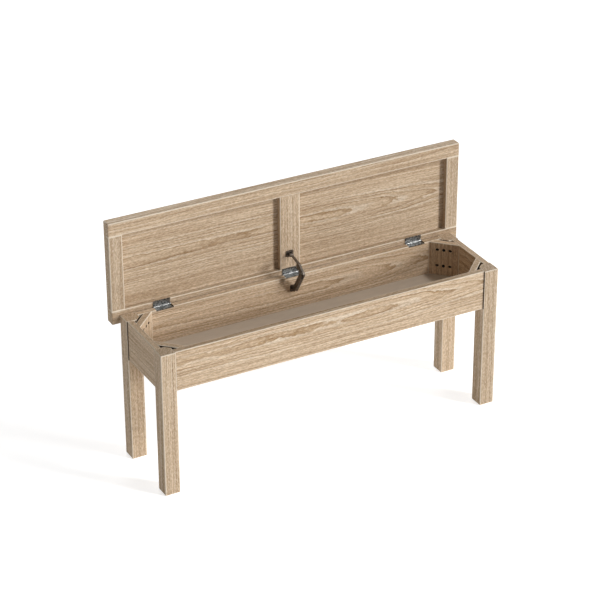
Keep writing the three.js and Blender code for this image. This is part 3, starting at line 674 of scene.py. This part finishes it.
def screw_tree():
    """A tapered head with a cross recess, whose face lies at each point and looks along the point's aim."""
    found = bpy.data.node_groups.get("Cross-head screws")
    if found:
        return found
    tree = bpy.data.node_groups.new("Cross-head screws", "GeometryNodeTree")
    for name, kind in SCREW_INPUTS.items():
        tree.interface.new_socket(name, in_out="INPUT", socket_type=kind)
    tree.interface.new_socket("Screws", in_out="OUTPUT", socket_type="NodeSocketGeometry")
    given = add_node(tree, "NodeGroupInput").outputs
    result = add_node(tree, "NodeGroupOutput").inputs

    size = {}
    for part, (whole, share) in SCREW_SHARES.items():
        size[part] = add_node(tree, "ShaderNodeMath", {0: given[whole], 1: share},
                              operation="MULTIPLY").outputs[0]
    head = add_node(tree, "GeometryNodeMeshCone", {
        "Vertices": HEAD_SIDES,
        "Radius Top": size["head radius"],
        "Radius Bottom": size["neck radius"],
        "Depth": given["Head height"],
    })
    lift = add_node(tree, "ShaderNodeCombineXYZ", {2: given["Head height"]})
    cut = add_node(tree, "GeometryNodeMeshBoolean", {"Mesh 1": head.outputs["Mesh"]},
                   operation="DIFFERENCE", solver="EXACT")
    for size_x, size_y in (("bar length", "bar width"), ("bar width", "bar length")):
        bar_size = add_node(tree, "ShaderNodeCombineXYZ", {
            0: size[size_x], 1: size[size_y], 2: given["Head height"]})
        bar = add_node(tree, "GeometryNodeMeshCube", {"Size": bar_size.outputs[0]})
        lifted = add_node(tree, "GeometryNodeTransform", {
            "Geometry": bar.outputs["Mesh"], "Translation": lift.outputs[0]})
        tree.links.new(lifted.outputs[0], cut.inputs["Mesh 2"])
    sink = add_node(tree, "ShaderNodeCombineXYZ", {2: size["sink"]})
    screw = add_node(tree, "GeometryNodeTransform", {
        "Geometry": cut.outputs["Mesh"], "Translation": sink.outputs[0]})

    aim = add_node(tree, "GeometryNodeInputNamedAttribute", {"Name": "aim"}, data_type="FLOAT_VECTOR")
    turn = add_node(tree, "FunctionNodeAlignRotationToVector", {"Vector": aim.outputs[0]}, axis="Z")
    spin = add_node(tree, "FunctionNodeRandomValue", {"Seed": given["Seed"]}, data_type="FLOAT")
    # The node has one Max and one Value for each kind of number
    most = next(socket for socket in spin.inputs if socket.name == "Max" and socket.type == "VALUE")
    most.default_value = math.tau / 4
    angle = next(socket for socket in spin.outputs if socket.type == "VALUE")
    about = add_node(tree, "ShaderNodeCombineXYZ", {2: angle})
    spun = add_node(tree, "FunctionNodeRotateRotation", {
        "Rotation": turn.outputs[0], "Rotate By": about.outputs[0]}, rotation_space="LOCAL")
    placed = add_node(tree, "GeometryNodeInstanceOnPoints", {
        "Points": given["Points"], "Instance": screw.outputs[0], "Rotation": spun.outputs[0]})
    real = add_node(tree, "GeometryNodeRealizeInstances", {0: placed.outputs[0]})
    finished = add_node(tree, "GeometryNodeSetMaterial", {
        "Geometry": real.outputs[0], "Material": given["Material"]})
    tree.links.new(finished.outputs[0], result["Screws"])
    return tree


def add_screws(name, body, slot, material, places, *, head, height, neck, seed):
    """Screws whose faces lie at places, a list of (point, aim), on one body."""
    mesh = bpy.data.meshes.new(name)
    mesh.from_pydata([point for point, _ in places], [], [])
    aims = mesh.attributes.new("aim", "FLOAT_VECTOR", "POINT")
    aims.data.foreach_set("vector", [value for _, aim in places for value in aim])
    piece = bpy.data.objects.new(name, mesh)
    bpy.context.scene.collection.objects.link(piece)
    tree = screw_tree()
    modifier = piece.modifiers.new("Screws", "NODES")
    modifier.node_group = tree
    values = {
        "Head diameter": head, "Head height": height, "Neck diameter": neck, "Seed": seed,
        "Material": material,
    }
    for item in tree.interface.items_tree:
        if item.in_out == "INPUT" and item.name in values:
            modifier[item.identifier] = values[item.name]
    evaluated = piece.evaluated_get(bpy.context.evaluated_depsgraph_get())
    made = bpy.data.meshes.new_from_object(evaluated)
    if not made.polygons:
        raise RuntimeError(f"{name} came out without faces")
    made.materials.clear()
    made.materials.append(material)
    made.polygons.foreach_set("material_index", [0] * len(made.polygons))
    piece.modifiers.clear()
    piece.data = made
    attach(piece, body)


def middle(name):
    """The middle of a CAD node's box."""
    low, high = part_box(name)
    return (low + high) / 2


class BENCH_OT_butt_hinges(bpy.types.Operator):
    """Finish the butt hinges and add their screws"""
    bl_idname = "bench.butt_hinges"
    bl_label = "Butt hinges"

    def execute(self, context):
        sizes = context.scene.bench_screws
        zinc = zinc_plate(context.scene.bench_metal)
        on_rail, on_seat = [], []
        for side in HINGES:
            body_leaf, lid_leaf, pin = (f"hinge_{side}_{part}" for part in ("body_leaf", "lid_leaf", "pin"))
            dress((body_leaf, lid_leaf, pin), zinc)
            axis = middle(pin)
            rail_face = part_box(body_leaf)[0].z + LEAF_THICKNESS
            seat_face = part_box(lid_leaf)[1].y - LEAF_THICKNESS
            for step in (-1, 0, 1):
                x = axis.x + step * sizes.leaf_pitch
                on_rail.append((Vector((x, axis.y - sizes.leaf_reach, rail_face)), Z))
                on_seat.append((Vector((x, seat_face, axis.z + sizes.leaf_reach)), -Y))
        head = {"head": sizes.leaf_head, "height": LEAF_HEAD_HEIGHT, "neck": sizes.leaf_head / 2}
        add_screws("hinge_screws_rail", "bench", "zinc", zinc, on_rail, seed=3, **head)
        add_screws("hinge_screws_seat", "seat", "zinc", zinc, on_seat, seed=5, **head)
        return {"FINISHED"}


class BENCH_OT_lid_stay(bpy.types.Operator):
    """Finish the lid stay and add its screws"""
    bl_idname = "bench.lid_stay"
    bl_label = "Lid stay"

    def execute(self, context):
        sizes = context.scene.bench_screws
        bronze = bronze_lacquer(context.scene.bench_metal)
        dress([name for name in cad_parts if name.startswith("stay_")], bronze)
        head = {"head": sizes.bracket_head, "height": PAN_HEAD_HEIGHT, "neck": sizes.bracket_head}
        for bracket, body in (("stay_lid_bracket", "seat"), ("stay_rail_bracket", "bench")):
            low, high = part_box(bracket)
            face = high.y - BRACKET_THICKNESS - PAN_HEAD_HEIGHT
            ends = (low.x + sizes.bracket_inset, high.x - sizes.bracket_inset)
            places = [(Vector((x, face, middle(bracket).z)), -Y) for x in ends]
            add_screws(f"{bracket}_screws", body, "bronze", bronze, places, seed=7, **head)
        return {"FINISHED"}


def block_face_centre(corner, outward):
    """Where the leg's diagonal meets the corner block's open face, in plan."""
    low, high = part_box(f"corner_block_{corner}")
    leg = middle(f"leg_{corner}")
    near_x = min(outward.x * low.x, outward.x * high.x)
    far_y = max(outward.y * low.y, outward.y * high.y)
    # All along the open face, the distances outward in x and in y add up to the same sum
    face = near_x + far_y
    lead = outward.x * leg.x - outward.y * leg.y
    return Vector((outward.x * (face + lead) / 2, outward.y * (face - lead) / 2))


class BENCH_OT_corner_fasteners(bpy.types.Operator):
    """Finish the leg bolts and inserts, and add the corner blocks' screws"""
    bl_idname = "bench.corner_fasteners"
    bl_label = "Corner fasteners"

    def execute(self, context):
        sizes = context.scene.bench_screws
        look = context.scene.bench_metal
        black = black_oxide(look)
        dress([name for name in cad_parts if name.startswith("leg_bolt_")], black)
        dress([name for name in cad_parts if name.startswith("leg_insert_")], insert_alloy(look))
        side = sizes.pocket_offset / math.sqrt(2)
        depth = sizes.pocket_depth - POCKET_HEAD_HEIGHT
        places = []
        for corner, outward in CORNERS.items():
            centre = block_face_centre(corner, outward)
            for row in ("upper", "lower"):
                start = Vector((centre.x, centre.y, middle(f"leg_bolt_{corner}_{row}").z))
                along_x = start + Vector((outward.x * (side + depth), -outward.y * side, 0))
                along_y = start + Vector((-outward.x * side, outward.y * (side + depth), 0))
                places += [(along_x, -outward.x * X), (along_y, -outward.y * Y)]
        add_screws("block_screws", "bench", "black_steel", black, places, head=sizes.pocket_head,
                   height=POCKET_HEAD_HEIGHT, neck=sizes.pocket_head / 2, seed=9)
        return {"FINISHED"}


# Studio

WHITE = "ffffff"
PAPER = "e7e7e7"
FLOOR_SIZE = 40.0
# How much the floor glows for the light on the bench, and where the camera or a reflection sees it
FLOOR_BOUNCE = 0.31
FLOOR_SEEN = 0.66
# Each lamp's name, the way that its light travels, and its apparent size in degrees
LAMPS = {
    "key": ("Key", (-0.667, 0.715, -0.208), 16),
    "top": ("Top light", (-0.522, 0.56, -0.643), 8),
    "back": ("Back light", (-0.24, -0.896, -0.375), 40),
}


def seen_rays(tree):
    """1 for rays that show the room to the camera, straight or in metal or glass, and 0 for its light."""
    path = add_node(tree, "ShaderNodeLightPath").outputs
    seen = path["Is Camera Ray"]
    for ray in ("Is Glossy Ray", "Is Transmission Ray"):
        seen = add_node(tree, "ShaderNodeMath", {0: seen, 1: path[ray]}, operation="MAXIMUM").outputs[0]
    return seen


def floor_material():
    """White paper that glows a little, as a bright room's floor does, and that the camera sees as white."""
    material, tree, surface = new_material("White paper sweep")
    glow = add_node(tree, "ShaderNodeMapRange", {
        "Value": seen_rays(tree), "To Min": FLOOR_BOUNCE, "To Max": FLOOR_SEEN})
    paper = add_node(tree, "ShaderNodeBsdfDiffuse", {"Color": linear(PAPER)})
    light = add_node(tree, "ShaderNodeEmission", {"Color": linear(WHITE), "Strength": glow.outputs[0]})
    both = add_node(tree, "ShaderNodeAddShader", {0: paper.outputs[0], 1: light.outputs[0]})
    tree.links.new(both.outputs[0], surface)
    return material


def add_floor():
    """A plain square floor under the feet."""
    half = FLOOR_SIZE / 2
    corners = [(x * half, y * half, 0) for x, y in ((-1, -1), (1, -1), (1, 1), (-1, 1))]
    mesh = bpy.data.meshes.new("floor")
    mesh.from_pydata(corners, [], [(0, 1, 2, 3)])
    floor = bpy.data.objects.new("floor", mesh)
    mesh.materials.append(floor_material())
    bpy.context.scene.collection.objects.link(floor)


def add_world(strength):
    """An even white room, seen as white."""
    world = bpy.data.worlds.new("White room")
    bpy.context.scene.world = world
    world.use_nodes = True
    tree = world.node_tree
    tree.nodes.clear()
    level = add_node(tree, "ShaderNodeMapRange", {
        "Value": seen_rays(tree), "To Min": strength, "To Max": 1.0})
    room = add_node(tree, "ShaderNodeBackground", {"Color": linear(WHITE), "Strength": level.outputs[0]})
    output = add_node(tree, "ShaderNodeOutputWorld")
    tree.links.new(room.outputs[0], output.inputs["Surface"])


def add_sun(name, strength, toward, spread):
    """A soft lamp whose light travels toward a direction. spread is the lamp's apparent size in degrees."""
    lamp = bpy.data.lights.new(name, "SUN")
    lamp.energy = strength
    lamp.angle = math.radians(spread)
    holder = bpy.data.objects.new(name, lamp)
    holder.rotation_euler = Vector(toward).to_track_quat("-Z", "Y").to_euler()
    bpy.context.scene.collection.objects.link(holder)


def add_camera(settings):
    """The camera at the photograph's view."""
    data = bpy.data.cameras.new("Camera")
    data.lens = settings.lens
    camera = bpy.data.objects.new("Camera", data)
    azimuth, elevation, roll = settings.camera_turn
    turn = Matrix.Rotation(azimuth, 3, "Z") @ Matrix.Rotation(math.pi / 2 - elevation, 3, "X")
    camera.rotation_euler = (turn @ Matrix.Rotation(roll, 3, "Z")).to_euler()
    camera.location = settings.camera_place
    bpy.context.scene.collection.objects.link(camera)
    bpy.context.scene.camera = camera


class BENCH_OT_studio(bpy.types.Operator):
    """Set up the camera, lamps, floor and white room"""
    bl_idname = "bench.studio"
    bl_label = "Studio"

    def execute(self, context):
        settings = context.scene.bench_studio
        add_camera(settings)
        add_floor()
        add_world(settings.sky)
        for setting, (name, toward, spread) in LAMPS.items():
            add_sun(name, getattr(settings, setting), toward, spread)
        context.scene.view_settings.view_transform = "Standard"
        return {"FINISHED"}


# The add-on

PROPERTIES = {
    "bench_oak": OakFinish,
    "bench_panel": PanelFinish,
    "bench_metal": MetalFinish,
    "bench_screws": ScrewSizes,
    "bench_studio": StudioSettings,
}
OPERATORS = (
    BENCH_OT_studio,
    BENCH_OT_carcass,
    BENCH_OT_seat,
    BENCH_OT_base_panel,
    BENCH_OT_butt_hinges,
    BENCH_OT_lid_stay,
    BENCH_OT_corner_fasteners,
)


class BENCH_PT_looks(bpy.types.Panel):
    """The bench's pieces, with their sizes and colours."""
    bl_label = "Oak storage bench"
    bl_space_type = "VIEW_3D"
    bl_region_type = "UI"
    bl_category = "Bench"

    def draw(self, context):
        for operator in OPERATORS:
            self.layout.operator(operator.bl_idname)
        for name, group in PROPERTIES.items():
            box = self.layout.box()
            for prop in group.__annotations__:
                box.prop(getattr(context.scene, name), prop)


CLASSES = (*PROPERTIES.values(), *OPERATORS, BENCH_PT_looks)


def register():
    """Makes the sizes, colours, operators and panel known to Blender."""
    for cls in CLASSES:
        bpy.utils.register_class(cls)
    for name, group in PROPERTIES.items():
        setattr(bpy.types.Scene, name, bpy.props.PointerProperty(type=group))


def unregister():
    """Takes them away again."""
    for name in PROPERTIES:
        delattr(bpy.types.Scene, name)
    for cls in reversed(CLASSES):
        bpy.utils.unregister_class(cls)


def main():
    """Builds every piece in order."""
    register()
    bpy.ops.bench.studio()
    bpy.ops.bench.carcass()
    bpy.ops.bench.seat()
    bpy.ops.bench.base_panel()
    bpy.ops.bench.butt_hinges()
    bpy.ops.bench.lid_stay()
    bpy.ops.bench.corner_fasteners()


if __name__ == "__main__":
    main()
